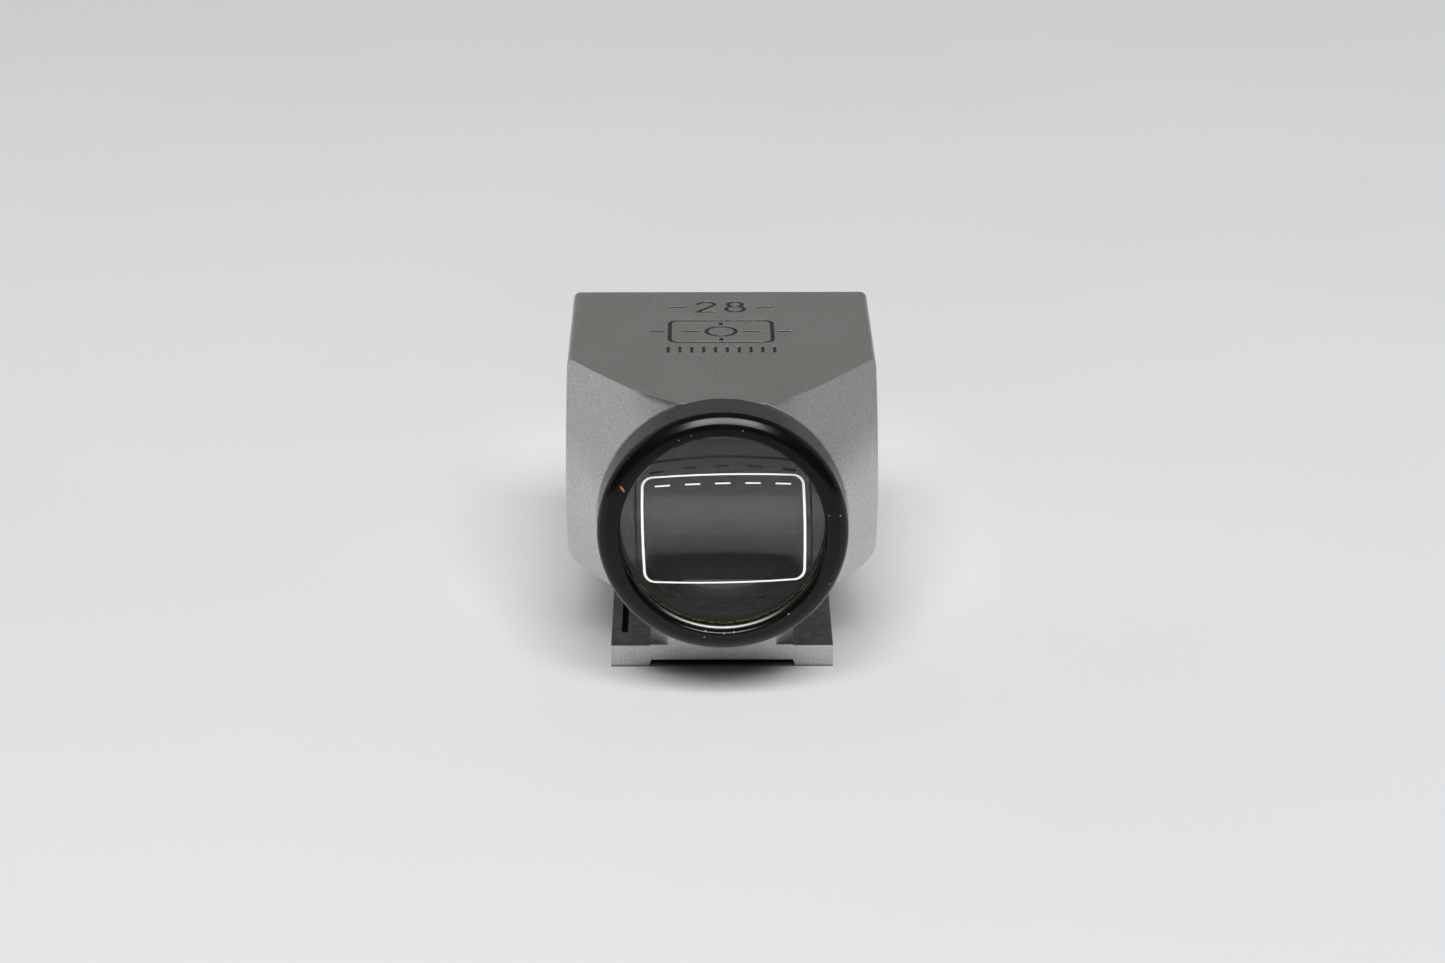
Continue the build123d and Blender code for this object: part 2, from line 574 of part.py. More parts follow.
# ---------------------------------------------------------------- foot
with BuildPart() as shoe_foot:
    # plate with its shallow recess, one section along the whole length
    with BuildSketch(across(FOOT_BACK_Y, 0)) as section_shape:
        with BuildLine():
            outline = Polyline(
                (0, RECESS_DEPTH), (RECESS_HALF_W - RECESS_SLOPE, RECESS_DEPTH), (RECESS_HALF_W, 0),
                (FOOT_HALF_W, 0), (FOOT_HALF_W, WING_T), (NECK_HALF_W, WING_T),
                (NECK_HALF_W, WING_T + PAD_STEP), (0, WING_T + PAD_STEP),
            )
            mirror(outline, about=Plane.YZ)
        make_face()
    extrude(amount=-FOOT_LEN)
    outer_edges = shoe_foot.faces().filter_by(Axis.X).group_by(Axis.X)
    fillet(outer_edges[0].edges().group_by(Axis.Z)[0], FOOT_EDGE)
    fillet(outer_edges[-1].edges().group_by(Axis.Z)[0], FOOT_EDGE)
    # neck up to the housing, its corners cut in plan
    with BuildSketch(Plane.XY.offset(WING_T + PAD_STEP)) as neck_shape:
        with Locations((0, FOOT_MID_Y)):
            Rectangle(2 * NECK_HALF_W, FOOT_LEN)
        chamfer(neck_shape.vertices(), NECK_CHAMFER_X, NECK_CHAMFER_Y)
    extrude(amount=BODY_BOTTOM - WING_T - PAD_STEP)
    # slot that frees a springy strip at the edge of one wing
    with BuildSketch(Plane.XY):
        with Locations((SLOT_X, FOOT_MID_Y)):
            Rectangle(SLOT_W, FOOT_LEN - 2 * SLOT_END)
    extrude(amount=WING_T, mode=Mode.SUBTRACT)
    with Locations(FOOT_SCREW_PLANE):
        with GridLocations(2 * FOOT_SCREW_X, FOOT_SCREW_PITCH, 2, 2):
            CounterSinkHole(FOOT_SHANK_R + SCREW_CLEAR, FOOT_HEAD_R + SCREW_CLEAR)
save(shoe_foot, "shoe_foot")

foot_screw = countersunk_screw(
    FOOT_HEAD_R, FOOT_SHANK_R, FOOT_SCREW_TIP - RECESS_DEPTH, 0.4, 0.35
)
with BuildPart() as foot_screws:
    with Locations(FOOT_SCREW_PLANE):
        with GridLocations(2 * FOOT_SCREW_X, FOOT_SCREW_PITCH, 2, 2):
            add(foot_screw)
save(foot_screws, "foot_screws")
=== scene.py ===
import json
import math

import bpy
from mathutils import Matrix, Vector


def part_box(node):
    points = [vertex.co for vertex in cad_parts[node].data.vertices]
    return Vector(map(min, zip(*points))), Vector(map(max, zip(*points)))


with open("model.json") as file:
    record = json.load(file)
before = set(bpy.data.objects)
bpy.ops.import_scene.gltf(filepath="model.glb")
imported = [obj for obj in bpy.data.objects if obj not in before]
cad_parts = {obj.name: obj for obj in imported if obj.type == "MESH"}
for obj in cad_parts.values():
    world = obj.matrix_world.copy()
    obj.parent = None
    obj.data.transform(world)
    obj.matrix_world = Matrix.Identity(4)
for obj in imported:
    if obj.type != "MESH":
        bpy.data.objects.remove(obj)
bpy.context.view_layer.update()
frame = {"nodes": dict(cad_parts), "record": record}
nodes = frame["nodes"]

MM = 0.001


def box_mm(node):
    """Lowest and highest corner of a CAD node at rest, in mm."""
    low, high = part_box(node)
    return [v / MM for v in low], [v / MM for v in high]


# Places on the part that materials need, in mm. Near is towards the eye, -Y. Heights called up
# are measured from the optical axis.
body_low, body_high = box_mm("housing")
plate_low, plate_high = box_mm("frame_plate")
bezel_low, bezel_high = box_mm("front_bezel")
foot_low, foot_high = box_mm("shoe_foot")

AXIS_Z = (plate_low[2] + plate_high[2]) / 2
PLATE_NEAR_Y = plate_low[1]
CREASE = body_high[2] - AXIS_Z         # the top face, where the cone cuts it
FOOT_HALF_W, FOOT_NEAR_Y, FOOT_FAR_Y = foot_high[0], foot_low[1], foot_high[1]
WING_TOP = 1.85 - AXIS_Z               # the foot's rail faces
WING_INNER = 5.99
LAND_INNER = 4.45                      # the lands before the neck's cut corners
SLOT_X, SLOT_HALF_W, SLOT_END = -8.19, 0.27, 2.84
SCRATCH_AT, SCRATCH_HALF_AXES, SCRATCH_TURN = (9.05, -0.38), (0.38, 0.05), -62
LIP_SHIFT = 0.71                       # how far up the plate the lip's lower edge is mirrored
LIP_MIRRORED_R = 8.30                  # radius of that edge

# The housing's hollow lies inside this cone and this box, whose sides run within the walls.
HOLLOW_SLOPE = 0.497
HOLLOW_CONE_R = 9.65 - body_low[1] * HOLLOW_SLOPE      # radius of the cone at y = 0
HOLLOW_HALF_W, HOLLOW_HALF_H = 12.2, 7.8
HOLLOW_MID = (bezel_low[2] + bezel_high[2]) / 2 - AXIS_Z
HOLLOW_FAR_Y = bezel_high[1] - 0.1

# Dust and fibres on the eyepiece's lip. Dust is (x, up); a fibre is its middle, its half axes
# and its turn in degrees.
LIP_DUST = [(-1.4, -8.3), (0.1, -8.5), (0.9, -8.4), (-1.5, -8.8), (5.3, -6.8), (8.6, -4.3),
            (-2.5, 8.5), (-3.5, 8.1), (1.6, 8.9), (8.5, 1.7), (9.4, 1.6)]
LIP_FIBRES = [((-8.0, 4.0), (0.30, 0.10), -55), ((-4.1, 7.2), (0.12, 0.08), 20),
              ((7.6, 3.1), (0.12, 0.07), -20)]

# The share of the floor that the framing plate mirrors, as (up, share): in the middle of the
# plate, and at its left and right.
VEIL_MIDDLE = [(-8.0, 0.033), (-5.0, 0.016), (-3.0, 0.003), (-2.3, 0.004), (-2.1, 0.050),
               (-1.3, 0.074), (-0.4, 0.114), (0.7, 0.150), (1.7, 0.166), (2.5, 0.144),
               (3.0, 0.100), (3.8, 0.090), (5.4, 0.074), (6.8, 0.064), (8.0, 0.048)]
VEIL_SIDE = [(-8.0, 0.030), (-4.8, 0.014), (-3.1, 0.036), (-2.85, 0.060), (-2.7, 0.092),
             (-2.3, 0.084), (-1.5, 0.080), (0.0, 0.088), (1.3, 0.120), (2.6, 0.104), (8.0, 0.048)]


# ---------------------------------------------------------------- node helpers
class Look:
    """A node material, and short ways to add nodes to it. A value may be a number or a socket."""

    def __init__(self, name):
        self.material = bpy.data.materials.new(name)
        self.material.use_nodes = True
        self.tree = self.material.node_tree
        self.tree.nodes.clear()
        self.output = self.add("ShaderNodeOutputMaterial")
        self.coord = self.add("ShaderNodeTexCoord").outputs["Object"]

    def add(self, kind, **settings):
        node = self.tree.nodes.new(kind)
        for name, setting in settings.items():
            setattr(node, name, setting)
        return node

    def wire(self, value, socket):
        if isinstance(value, bpy.types.NodeSocket):
            self.tree.links.new(value, socket)
        else:
            socket.default_value = value

    def wire_color(self, color, socket):
        self.wire(color if isinstance(color, bpy.types.NodeSocket) else (*color, 1.0), socket)

    # ---- numbers
    def math(self, operation, a, b=0.0, clamp=False):
        node = self.add("ShaderNodeMath", operation=operation, use_clamp=clamp)
        self.wire(a, node.inputs[0])
        self.wire(b, node.inputs[1])
        return node.outputs[0]

    def plus(self, a, b):
        return self.math("ADD", a, b)

    def minus(self, a, b):
        return self.math("SUBTRACT", a, b)

    def times(self, first, *others):
        """The values multiplied. For masks, that is where all of them are."""
        product = first
        for other in others:
            product = self.math("MULTIPLY", product, other)
        return product

    def largest(self, a, b):
        return self.math("MAXIMUM", a, b)

    def smallest(self, a, b):
        return self.math("MINIMUM", a, b)

    def absolute(self, value):
        return self.math("ABSOLUTE", value)

    def length(self, a, b):
        return self.math("SQRT", self.plus(self.times(a, a), self.times(b, b)))

    def above(self, value, limit):
        return self.math("GREATER_THAN", value, limit)

    def below(self, value, limit):
        return self.math("LESS_THAN", value, limit)

    def ramp(self, value, low, high, at_low=0.0, at_high=1.0, smooth=True):
        """Goes from at_low to at_high while value goes from low to high."""
        node = self.add("ShaderNodeMapRange", clamp=True)
        node.interpolation_type = "SMOOTHSTEP" if smooth else "LINEAR"
        self.wire(value, node.inputs["Value"])
        self.wire(low, node.inputs["From Min"])
        self.wire(high, node.inputs["From Max"])
        self.wire(at_low, node.inputs["To Min"])
        self.wire(at_high, node.inputs["To Max"])
        return node.outputs["Result"]

    def profile(self, value, stops):
        """A curve through the given (value, level) stops."""
        low, high = stops[0][0], stops[-1][0]
        node = self.add("ShaderNodeValToRGB")
        points = node.color_ramp.elements
        while len(points) < len(stops):
            points.new(0.5)
        for point, (at, level) in zip(points, stops):
            point.position = (at - low) / (high - low)
            point.color = (level, level, level, 1.0)
        self.wire(self.ramp(value, low, high, smooth=False), node.inputs[0])
        grey = self.add("ShaderNodeRGBToBW")
        self.wire(node.outputs[0], grey.inputs[0])
        return grey.outputs[0]

    # ---- places and patterns
    def place(self):
        """Object-space x, y and height above the optical axis, in mm."""
        at = self.add("ShaderNodeSeparateXYZ")
        self.wire(self.coord, at.inputs[0])
        x = self.times(at.outputs["X"], 1 / MM)
        y = self.times(at.outputs["Y"], 1 / MM)
        up = self.times(self.minus(at.outputs["Z"], AXIS_Z * MM), 1 / MM)
        return x, y, up

    def facing(self):
        """The surface normal's X, Y and Z, and whether the surface is seen from behind."""
        shape = self.add("ShaderNodeNewGeometry")
        normal = self.add("ShaderNodeSeparateXYZ")
        self.wire(shape.outputs["Normal"], normal.inputs[0])
        return (*normal.outputs, shape.outputs["Backfacing"])

    def noise(self, size_mm, detail=2.0, rough=0.5, seed=0.0):
        node = self.add("ShaderNodeTexNoise", noise_dimensions="4D")
        self.wire(self.coord, node.inputs["Vector"])
        node.inputs["W"].default_value = seed
        node.inputs["Scale"].default_value = 1.0 / (size_mm * MM)
        node.inputs["Detail"].default_value = detail
        node.inputs["Roughness"].default_value = rough
        return node.outputs["Fac"]

    def blob(self, a, b, middle, half_axes, turn=0.0):
        """1 inside a small ellipse in the plane of a and b, in mm and degrees."""
        cosine, sine = math.cos(math.radians(turn)), math.sin(math.radians(turn))
        long, short = half_axes
        da, db = self.minus(a, middle[0]), self.minus(b, middle[1])
        along = self.plus(self.times(da, cosine / long), self.times(db, sine / long))
        across = self.minus(self.times(db, cosine / short), self.times(da, sine / short))
        return self.below(self.length(along, across), 1.0)

    def specks(self, cell_mm, radius, share, seed=0.0):
        """Small round spots: 1 inside a spot, 0 outside. radius is in cells, and share is the
        part of the cells that have a spot."""
        offset = self.add("ShaderNodeVectorMath", operation="ADD")
        self.wire(self.coord, offset.inputs[0])
        offset.inputs[1].default_value = (seed * MM, seed * 0.37 * MM, seed * 0.71 * MM)
        node = self.add("ShaderNodeTexVoronoi", feature="F1")
        self.wire(offset.outputs[0], node.inputs["Vector"])
        node.inputs["Scale"].default_value = 1.0 / (cell_mm * MM)
        channel = self.add("ShaderNodeSeparateColor")
        self.wire(node.outputs["Color"], channel.inputs[0])
        return self.times(self.below(node.outputs["Distance"], radius),
                          self.below(channel.outputs[0], share))

    # ---- colours, normals and shaders
    def mix(self, share, a, b):
        """Mix two colours."""
        node = self.add("ShaderNodeMix", data_type="RGBA")
        self.wire(share, node.inputs["Factor"])
        self.wire_color(a, node.inputs[6])
        self.wire_color(b, node.inputs[7])
        return node.outputs[2]

    def bump(self, height, depth_mm, normal=None):
        node = self.add("ShaderNodeBump")
        node.inputs["Strength"].default_value = 1.0
        node.inputs["Distance"].default_value = depth_mm * MM
        self.wire(height, node.inputs["Height"])
        if normal is not None:
            self.wire(normal, node.inputs["Normal"])
        return node.outputs[0]

    def edge(self, radius_mm):
        """A normal that rounds the piece's sharp edges."""
        node = self.add("ShaderNodeBevel", samples=4)
        node.inputs["Radius"].default_value = radius_mm * MM
        return node.outputs[0]

    def principled(self, color, rough, metallic=0.0, ior=1.5, normal=None, **extra):
        node = self.add("ShaderNodeBsdfPrincipled")
        self.wire_color(color, node.inputs["Base Color"])
        self.wire(rough, node.inputs["Roughness"])
        self.wire(metallic, node.inputs["Metallic"])
        node.inputs["IOR"].default_value = ior
        if normal is not None:
            self.wire(normal, node.inputs["Normal"])
        for name, value in extra.items():
            self.wire(value, node.inputs[name.replace("_", " ")])
        return node.outputs[0]

    def glossy(self, color, rough):
        node = self.add("ShaderNodeBsdfGlossy")
        self.wire_color(color, node.inputs["Color"])
        self.wire(rough, node.inputs["Roughness"])
        return node.outputs[0]

    def diffuse(self, color):
        node = self.add("ShaderNodeBsdfDiffuse")
        self.wire_color(color, node.inputs["Color"])
        return node.outputs[0]

    def transparent(self, color=(1.0, 1.0, 1.0)):
        node = self.add("ShaderNodeBsdfTransparent")
        self.wire_color(color, node.inputs["Color"])
        return node.outputs[0]

    def blend(self, share, a, b):
        """Mix two shaders."""
        node = self.add("ShaderNodeMixShader")
        self.wire(share, node.inputs[0])
        self.wire(a, node.inputs[1])
        self.wire(b, node.inputs[2])
        return node.outputs[0]

    def end(self, surface):
        self.wire(surface, self.output.inputs["Surface"])
        return self.material


# ---------------------------------------------------------------- materials
def wing_shade_faces(look, x, up, facing_up):
    """The foot's wings and the small lands before the neck's cut corners, darkened as painted shade
    for the shade under the body. Gives that mask, and one of all faces at the wings' height."""
    level = look.times(look.below(up, WING_TOP + 0.2), look.above(up, WING_TOP - 0.03))
    beside = look.absolute(x)
    wing = look.above(beside, WING_INNER)
    land = look.times(look.above(beside, LAND_INNER), look.above(look.absolute(facing_up), 0.9))
    return look.times(level, look.largest(wing, land)), level


def crease_shade(look, x, up, facing_far, facing_up):
    """Painted shade: a dark streak on the cone along its crease with the top face, wider on the
    left.
    """
    on_cone = look.times(look.below(facing_far, -0.2), look.below(facing_up, 0.97))
    streak = look.times(look.ramp(up, CREASE - 0.42, CREASE, 0.0, 0.60),
                        look.ramp(x, -7.3, -6.0), look.ramp(x, -4.0, 0.0, 1.0, 0.4),
                        look.ramp(x, 4.5, 6.5, 1.0, 0.0))
    line = look.times(look.ramp(up, CREASE - 0.10, CREASE - 0.02, 0.0, 0.30),
                      look.ramp(look.absolute(x), 9.0, 8.0))
    return look.times(on_cone, look.largest(streak, line))


def black_hollow_and_slot_shade(look, x, y, up):
    """The hollow of the housing, black inside, and the slot in the foot's wing, whose walls are
    black as painted shade.
    """
    cone_r = look.plus(look.times(y, HOLLOW_SLOPE), HOLLOW_CONE_R)
    from_middle = look.absolute(look.minus(up, HOLLOW_MID))
    hollow = look.times(look.below(look.length(x, up), cone_r),
                        look.below(look.absolute(x), HOLLOW_HALF_W),
                        look.below(from_middle, HOLLOW_HALF_H), look.below(y, HOLLOW_FAR_Y))
    # painted shade: the slot's walls are black
    across_slot = look.absolute(look.minus(x, SLOT_X))
    slot = look.times(look.below(across_slot, SLOT_HALF_W), look.below(up, WING_TOP - 0.02),
                      look.above(y, FOOT_NEAR_Y + SLOT_END), look.below(y, FOOT_FAR_Y - SLOT_END))
    return look.largest(hollow, slot)


def satin_chrome(name):
    """Satin chrome with a fine pearled grain and a bright scratch; painted shade darkens it low on
    the body, on the foot's wings, along the crease by the cone and in the wing's slot, and its
    hollow is black.
    """
    look = Look(name)
    grain = look.noise(0.20, 3.0, 0.70)
    cloud = look.noise(4.0, 3.0, 0.55, 3.0)
    mottle = look.noise(0.9, 4.0, 0.65, 7.0)
    x, y, up = look.place()
    _, facing_far, facing_up, _ = look.facing()
    color = look.mix(look.ramp(grain, 0.3, 0.7), (0.50, 0.505, 0.50), (0.70, 0.705, 0.70))
    # painted shade: the chrome is made a little darker low on the body
    low = look.times(look.ramp(up, 3.0, -4.0, 0.0, 0.14), look.ramp(up, -8.5, -7.5))
    color = look.mix(low, color, (0.05, 0.05, 0.055))
    # painted shade on the foot's wings and lands, with a random mottle
    wing_shade, level = wing_shade_faces(look, x, up, facing_up)
    painted_lighting = look.mix(look.ramp(mottle, 0.35, 0.7), (0.17, 0.18, 0.19), (0.26, 0.27, 0.28))
    color = look.mix(wing_shade, color, painted_lighting)
    # a bright scratch at the edge of the right wing
    scratch = look.times(level, look.blob(x, y, SCRATCH_AT, SCRATCH_HALF_AXES, SCRATCH_TURN))
    color = look.mix(scratch, color, (0.55, 0.56, 0.57))
    # painted shade along the crease between the top face and the cone
    color = look.mix(crease_shade(look, x, up, facing_far, facing_up), color, (0.05, 0.055, 0.07))
    rough = look.ramp(cloud, 0.3, 0.7, 0.40, 0.46)
    plated = look.principled(color, rough, 1.0, normal=look.bump(grain, 0.008, look.edge(0.05)))
    black = look.principled((0.008, 0.008, 0.008), 0.8, normal=look.bump(grain, 0.01))
    return look.end(look.blend(black_hollow_and_slot_shade(look, x, y, up), plated, black))


def black_rubber(name):
    """Polished black hard rubber with dust and three small fibres on its lip."""
    look = Look(name)
    cloud = look.noise(2.5, 3.0, 0.5, 1.0)
    fine = look.noise(0.08, 2.0, 0.6, 5.0)
    x, _, up = look.place()
    _, facing_far, facing_up, _ = look.facing()
    dust = look.specks(0.55, 0.045, 0.12, 2.0)
    for middle in LIP_DUST:
        dust = look.largest(dust, look.blob(x, up, middle, (0.055, 0.05)))
    color = look.mix(dust, (0.002, 0.002, 0.002), (0.42, 0.41, 0.39))
    fibre = 0.0
    for middle, half_axes, turn in LIP_FIBRES:
        fibre = look.largest(fibre, look.blob(x, up, middle, half_axes, turn))
    color = look.mix(fibre, color, (0.62, 0.20, 0.06))
    # a film of dust on the upper half of the ring's side, which is also a painted sheen where the
    # side faces up
    side = look.below(look.absolute(facing_far), 0.15)
    dust_and_sheen = look.times(side, look.ramp(facing_up, 0.3, 0.95, 0.0, 0.026))
    color = look.mix(dust_and_sheen, color, (1.0, 0.98, 0.90))
    rough = look.plus(look.ramp(cloud, 0.3, 0.7, 0.19, 0.25),
                      look.times(look.largest(dust, fibre), 0.5))
    polished = look.principled(color, rough, ior=1.36, normal=look.bump(fine, 0.0012))
    # painted shade: the lip's flat is blended towards matt black towards the top
    flat = look.ramp(facing_far, -0.75, -0.95)
    painted_top_shade = look.times(flat, look.ramp(up, -6.0, 9.0, 0.0, 0.60, smooth=False))
    dull = look.principled((0.002, 0.002, 0.002), 0.7, ior=1.1)
    return look.end(look.blend(painted_top_shade, polished, dull))


def matt_black(name, tone=0.006, rough=0.75, grain_mm=0.15, depth_mm=0.01):
    """Finely grained black, from tone to twice that."""
    look = Look(name)
    grain = look.noise(grain_mm, 3.0, 0.6)
    color = look.mix(look.ramp(grain, 0.3, 0.7), [tone] * 3, [tone * 2.0] * 3)
    return look.end(look.principled(color, rough, normal=look.bump(grain, depth_mm)))


def turned_metal(name, color, rough=0.32, pitch_mm=0.09, darkest=0.6):
    """Turned metal: fine rings about the optical axis."""
    look = Look(name)
    x, y, up = look.place()
    outward = look.plus(look.length(x, up), y)
    wave = look.math("SINE", look.times(outward, 2 * math.pi / pitch_mm))
    stain = look.noise(0.7, 3.0, 0.6, 2.0)
    shade = look.mix(look.ramp(stain, 0.35, 0.65), [v * darkest for v in color], color)
    normal = look.bump(wave, 0.002, look.edge(0.05))
    return look.end(look.principled(shade, rough, 1.0, normal=normal))


def blackened(name, bright=(0.30, 0.296, 0.272), bright_from=0.44, bright_to=0.54, chips=0.0):
    """Blackened turned metal, bare and bright only where it faces up, a painted highlight, and
    black elsewhere: the normal's Z that the bright part starts and ends at are bright_from and
    bright_to. With chips, some of the bright part is still black in random patches."""
    look = Look(name)
    stain = look.noise(0.5, 3.0, 0.6, 2.0)
    _, facing_far, facing_up, _ = look.facing()
    # painted highlight: bare metal only where the face turns up, black elsewhere
    painted_lighting = look.ramp(facing_up, bright_from, bright_to)
    if chips:
        painted_lighting = look.times(painted_lighting, look.ramp(look.noise(0.35, 3.0, 0.7, 6.0), chips, chips + 0.06))
    dull = look.principled((0.006, 0.006, 0.005), 0.6, ior=1.2, normal=look.edge(0.02))
    shade = look.mix(look.ramp(stain, 0.3, 0.7), [v * 0.8 for v in bright], bright)
    # the bore is rougher than the bevel
    in_bore = look.ramp(look.absolute(facing_far), 0.6, 0.3, 0.0, 0.2)
    rough = look.plus(look.ramp(stain, 0.3, 0.7, 0.46, 0.54), in_bore)
    normal = look.bump(stain, 0.003, look.edge(0.02))
    bright_metal = look.principled(shade, rough, 1.0, normal=normal)
    return look.end(look.blend(painted_lighting, dull, bright_metal))


def mirrored_floor(look):
    """What the framing plate's near face adds to plain glass: the share of the floor that it
    mirrors, and a haze on its lower rim, where the eyepiece's lip hides the floor; that haze is lit
    by the lamps and is placed there as painted light."""
    x, y, up = look.place()
    near_face = look.below(y, PLATE_NEAR_Y + 0.02)
    # the picture's lower edge is bowed; the upper one is straight
    bow = look.times(x, x, look.ramp(up, 1.0, -1.0, 0.0, 0.0066))
    middle = look.profile(look.plus(up, bow), VEIL_MIDDLE)
    side = look.profile(up, VEIL_SIDE)
    apart = look.ramp(look.absolute(x), 5.2, 7.0)
    share = look.plus(middle, look.times(apart, look.minus(side, middle)))
    # the rim haze is painted light that fills the band where the lip hides the floor
    from_lip = look.length(x, look.minus(up, LIP_SHIFT))
    rim = look.ramp(from_lip, LIP_MIRRORED_R, LIP_MIRRORED_R + 0.12, 0.0, 0.035)
    return look.times(near_face, share), look.times(near_face, rim)


def glass(name, tint, coat, mirror=0.0, haze=0.0, veil=False, cemented=0):
    """Thin-surface glass: clear, with the reflection of its coated faces and a little dust.
    veil adds the faint picture of the hollow mirror that the framing plate shows to the eye.
    cemented is 1 or -1 for an element whose far or near face is cemented: that face is
    invisible."""
    look = Look(name)
    smear = look.noise(3.0, 3.0, 0.6, 4.0)
    fresnel = look.add("ShaderNodeFresnel")
    fresnel.inputs["IOR"].default_value = 1.52
    share = look.smallest(look.largest(fresnel.outputs[0], mirror), max(mirror, 0.12))
    shine = look.glossy(coat, look.ramp(smear, 0.35, 0.7, 0.02, 0.05))
    face = look.blend(share, look.transparent(tint), shine)
    dust = look.times(look.specks(0.7, 0.035, 0.05, 3.0), 0.6)
    cover = look.math("ADD", dust, look.ramp(smear, 0.3, 0.7, haze * 0.6, haze), clamp=True)
    if veil:
        floor_share, rim = mirrored_floor(look)
        face = look.blend(floor_share, face, look.glossy((1.0, 1.0, 1.0), 0.05))
        cover = look.plus(cover, rim)
    face = look.blend(cover, face, look.diffuse((0.8, 0.8, 0.78)))
    if cemented:
        _, facing_far, _, from_behind = look.facing()
        side = look.ramp(from_behind, 0.0, 1.0, cemented, -cemented, smooth=False)
        hidden = look.above(look.times(facing_far, side), 0.5)
        face = look.blend(hidden, face, look.transparent())
    return look.end(face)


def paint(name, color, rough=0.5, glow=0.0):
    """Paint with a fine grain. glow is the strength of its own light."""
    look = Look(name)
    grain = look.noise(0.06, 2.0, 0.5)
    shade = look.mix(look.ramp(grain, 0.3, 0.7), [v * 0.85 for v in color], color)
    extra = {}
    if glow:
        extra = {"Emission_Color": (*color, 1.0), "Emission_Strength": glow}
    return look.end(look.principled(shade, rough, normal=look.bump(grain, 0.003), **extra))


MATERIALS = {
    "satin_chrome": satin_chrome("satin_chrome"),
    "engraving_paint": paint("engraving_paint", (0.02, 0.02, 0.02), rough=0.6),
    "ring_black": black_rubber("ring_black"),
    "washer_fibre": matt_black("washer_fibre", tone=0.02, rough=0.8, grain_mm=0.1),
    "cell_metal": matt_black("cell_metal", tone=0.005, rough=0.6, grain_mm=0.3, depth_mm=0.004),
    "pin_steel": turned_metal("pin_steel", (0.55, 0.55, 0.54)),
    "retainer_metal": blackened("retainer_metal"),
    "spacer_lacquer": blackened("spacer_lacquer", (0.42, 0.38, 0.20), bright_from=-0.1,
                                bright_to=0.3, chips=0.44),
    "lens_glass": glass("lens_glass", (0.98, 0.98, 0.97), (0.08, 0.08, 0.09), haze=0.001),
    "plate_glass": glass("plate_glass", (0.96, 0.97, 0.96), (0.08, 0.08, 0.08), haze=0.001,
                         veil=True),
    # the white lines give off light of their own: painted light
    "line_white": paint("line_white", (0.92, 0.92, 0.92), rough=0.6, glow=0.55),
    "line_dark": paint("line_dark", (0.015, 0.015, 0.015), rough=0.7),
    "black_lacquer": matt_black("black_lacquer"),
    # the rear element's dark tint lets only a few percent through: painted shade for the dark view
    # into the hollow
    "mirror_glass": glass("mirror_glass", (0.066, 0.069, 0.069), (0.4, 0.4, 0.4), mirror=0.20,
                          cemented=1),
    "front_glass": glass("front_glass", (0.9, 0.93, 0.95), (0.35, 0.45, 0.8), cemented=-1),
    "gasket_rubber": matt_black("gasket_rubber", tone=0.015, rough=0.85, grain_mm=0.2),
    "bezel_black": matt_black("bezel_black", tone=0.01, rough=0.42, grain_mm=0.2,
                              depth_mm=0.006),
    "screw_steel": turned_metal("screw_steel", (0.50, 0.50, 0.49), rough=0.35, pitch_mm=0.12,
                                darkest=0.8),
}

for part in frame["record"]["subparts"]:
    obj = nodes[part["node"]]
    obj.data.materials.clear()
    obj.data.materials.append(MATERIALS[part["material_slot"]])


# ---------------------------------------------------------------- floor
def floor_card():
    """White card, greyer far behind the object as painted shade. Painted light makes it a little
    lighter beside the object's shadow, and a soft dark patch of painted shadow lies before the
    foot's recess and under the foot, where less light reaches it than the lamps give."""
    look = Look("floor_card")
    fine = look.noise(0.35, 3.0, 0.6)
    wide = look.noise(60.0, 2.0, 0.5, 2.0)
    x, y, _ = look.place()
    color = look.mix(look.ramp(wide, 0.3, 0.7), (0.80, 0.80, 0.81), (0.82, 0.82, 0.825))
    color = look.mix(look.ramp(fine, 0.2, 0.8, 0.0, 0.05), color, (0.7, 0.7, 0.7))
    # painted shade: the card turns greyer far behind the object
    color = look.mix(look.ramp(y, 260.0, 800.0), color, (0.365, 0.355, 0.335))
    beside = look.absolute(x)
    # painted light: lighter beside the object, which lifts its shadow there
    lighter = look.times(look.ramp(beside, 8.0, 14.0), look.ramp(beside, 27.0, 16.0),
                         look.ramp(y, -4.0, 14.0), look.ramp(y, 65.0, 35.0))
    color = look.mix(lighter, color, (0.90, 0.90, 0.90))
    # the painted shadow before the foot is half an ellipse, 7.8 mm to each side and 2.7 mm towards
    # the eye
    across = look.math("DIVIDE", look.plus(x, 0.25), 7.8)
    before = look.math("DIVIDE", look.smallest(look.minus(y, FOOT_NEAR_Y), 0.0), 2.7)
    out = look.plus(look.times(across, across), look.times(before, before))
    patch = look.times(look.ramp(out, 0.0, 1.0, 0.80, 0.0), look.below(y, FOOT_FAR_Y))
    # painted shadow under the foot itself
    under = look.times(look.below(beside, FOOT_HALF_W), look.above(y, FOOT_NEAR_Y - 0.16),
                       look.below(y, FOOT_FAR_Y - 0.1))
    color = look.mix(look.largest(patch, look.times(under, 0.9)), color, (0.03, 0.03, 0.035))
    return look.end(look.principled(color, 0.85, normal=look.bump(fine, 0.01)))


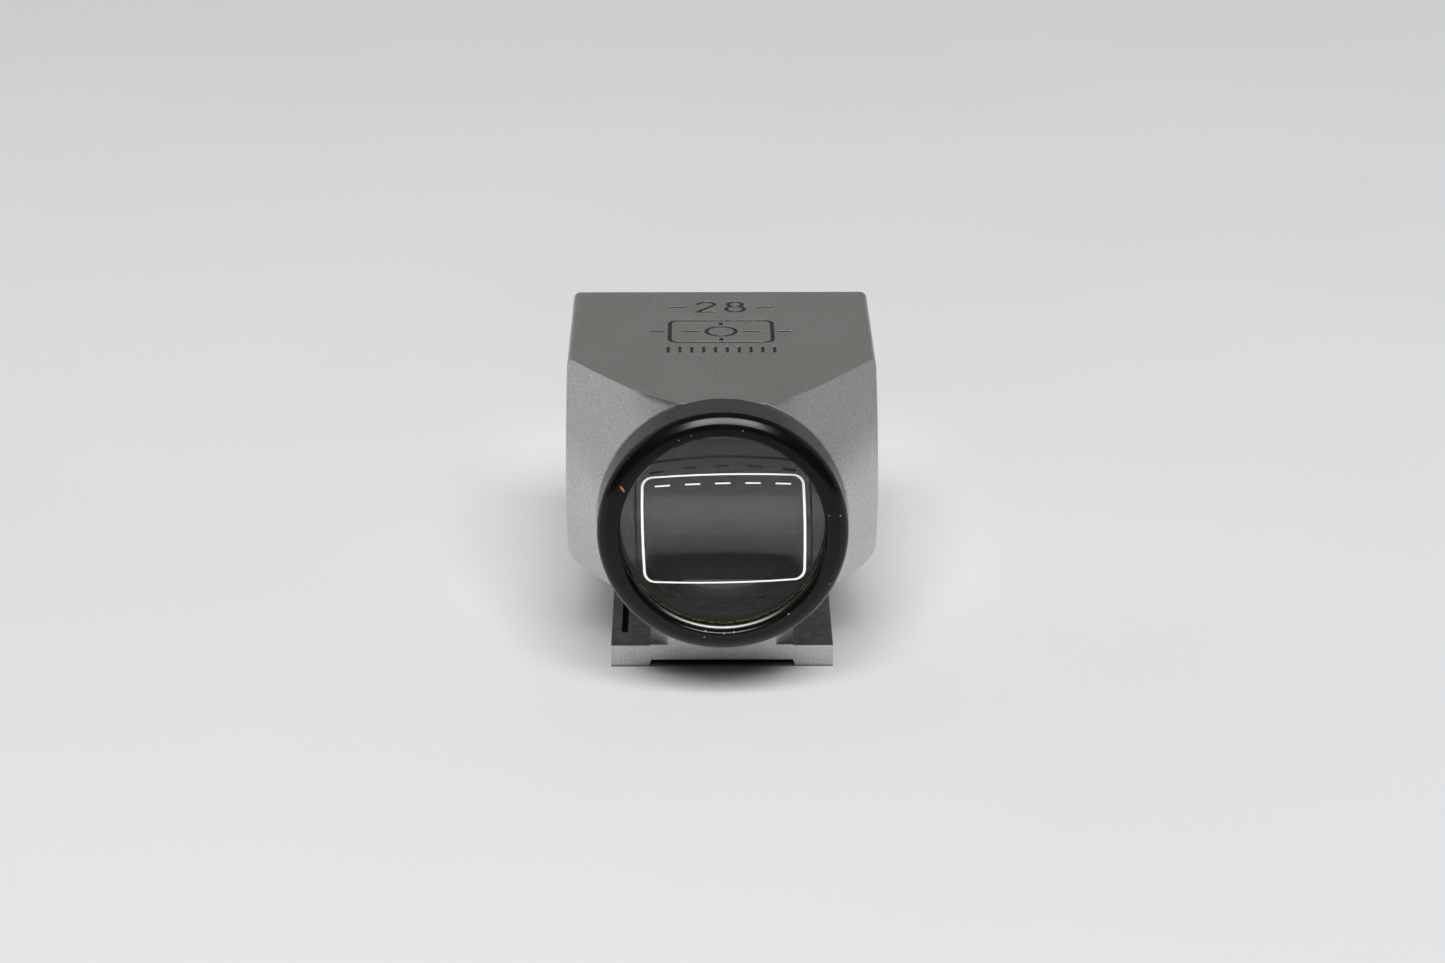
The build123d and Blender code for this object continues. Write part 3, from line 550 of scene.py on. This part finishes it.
def sweep(name, half_width, near_y, far_y, bend_r, back_height, steps=12):
    """A flat floor that curves up far behind, in metres."""
    rows = [(near_y, 0.0), (far_y, 0.0)]
    for step in range(1, steps + 1):
        angle = math.radians(90 * step / steps)
        rows.append((far_y + bend_r * math.sin(angle), bend_r * (1 - math.cos(angle))))
    rows.append((far_y + bend_r, back_height))
    corners = [(x, y, z) for y, z in rows for x in (-half_width, half_width)]
    faces = [(2 * i, 2 * i + 1, 2 * i + 3, 2 * i + 2) for i in range(len(rows) - 1)]
    mesh = bpy.data.meshes.new(name)
    mesh.from_pydata(corners, [], faces)
    mesh.shade_smooth()
    card = bpy.data.objects.new(name, mesh)
    bpy.context.scene.collection.objects.link(card)
    return card


floor = sweep("floor", half_width=1.6, near_y=-1.2, far_y=0.9, bend_r=0.35, back_height=1.2)
floor.data.materials.append(floor_card())


# ---------------------------------------------------------------- lights
def aimed(name, data, at, target):
    """Adds a lamp or camera at a place, turned towards its target."""
    thing = bpy.data.objects.new(name, data)
    thing.location = at
    thing.rotation_euler = (Vector(target) - Vector(at)).to_track_quat("-Z", "Y").to_euler()
    bpy.context.scene.collection.objects.link(thing)
    return thing


def soft_box(name, at, target, width, height, power):
    """A rectangular lamp, in metres and watts."""
    data = bpy.data.lights.new(name, "AREA")
    data.shape = "RECTANGLE"
    data.size, data.size_y = width, height
    data.energy = power
    aimed(name, data, at, target)


def room():
    """A dim room: nearly dark up to 20 degrees above the horizon, and brighter overhead."""
    world = bpy.data.worlds.new("room")
    world.use_nodes = True
    tree = world.node_tree
    background = tree.nodes["Background"]
    background.inputs["Color"].default_value = (1.0, 1.0, 0.985, 1.0)
    direction = tree.nodes.new("ShaderNodeTexCoord")
    rise = tree.nodes.new("ShaderNodeSeparateXYZ")
    tree.links.new(direction.outputs["Generated"], rise.inputs[0])
    glow = tree.nodes.new("ShaderNodeMapRange")
    glow.interpolation_type = "SMOOTHSTEP"
    for name, value in (("From Min", 0.32), ("From Max", 0.70), ("To Min", 0.02), ("To Max", 0.16)):
        glow.inputs[name].default_value = value
    tree.links.new(rise.outputs["Z"], glow.inputs["Value"])
    tree.links.new(glow.outputs["Result"], background.inputs["Strength"])
    return world


soft_box("key", (0.05, -1.03, 1.23), (0, 0, 0), width=1.15, height=0.52, power=27.0)
soft_box("left", (-1.15, 0.50, 0.50), (0, 0, 0.01), width=1.3, height=1.0, power=2.2)
soft_box("right", (1.15, 0.50, 0.50), (0, 0, 0.01), width=1.3, height=1.0, power=1.35)
bpy.context.scene.world = room()

# ---------------------------------------------------------------- camera
CAMERA_AT = Vector((-1.789, -288.17, 121.88)) * MM
CAMERA_TARGET = Vector((0.103, 3.21, 12.6)) * MM
camera_data = bpy.data.cameras.new("camera")
camera_data.sensor_width = 36.0
camera_data.lens = 90.73
camera_data.clip_start, camera_data.clip_end = 0.01, 10.0
bpy.context.scene.camera = aimed("camera", camera_data, CAMERA_AT, CAMERA_TARGET)
bpy.context.scene.view_settings.view_transform = "Standard"
bpy.context.scene.view_settings.look = "None"
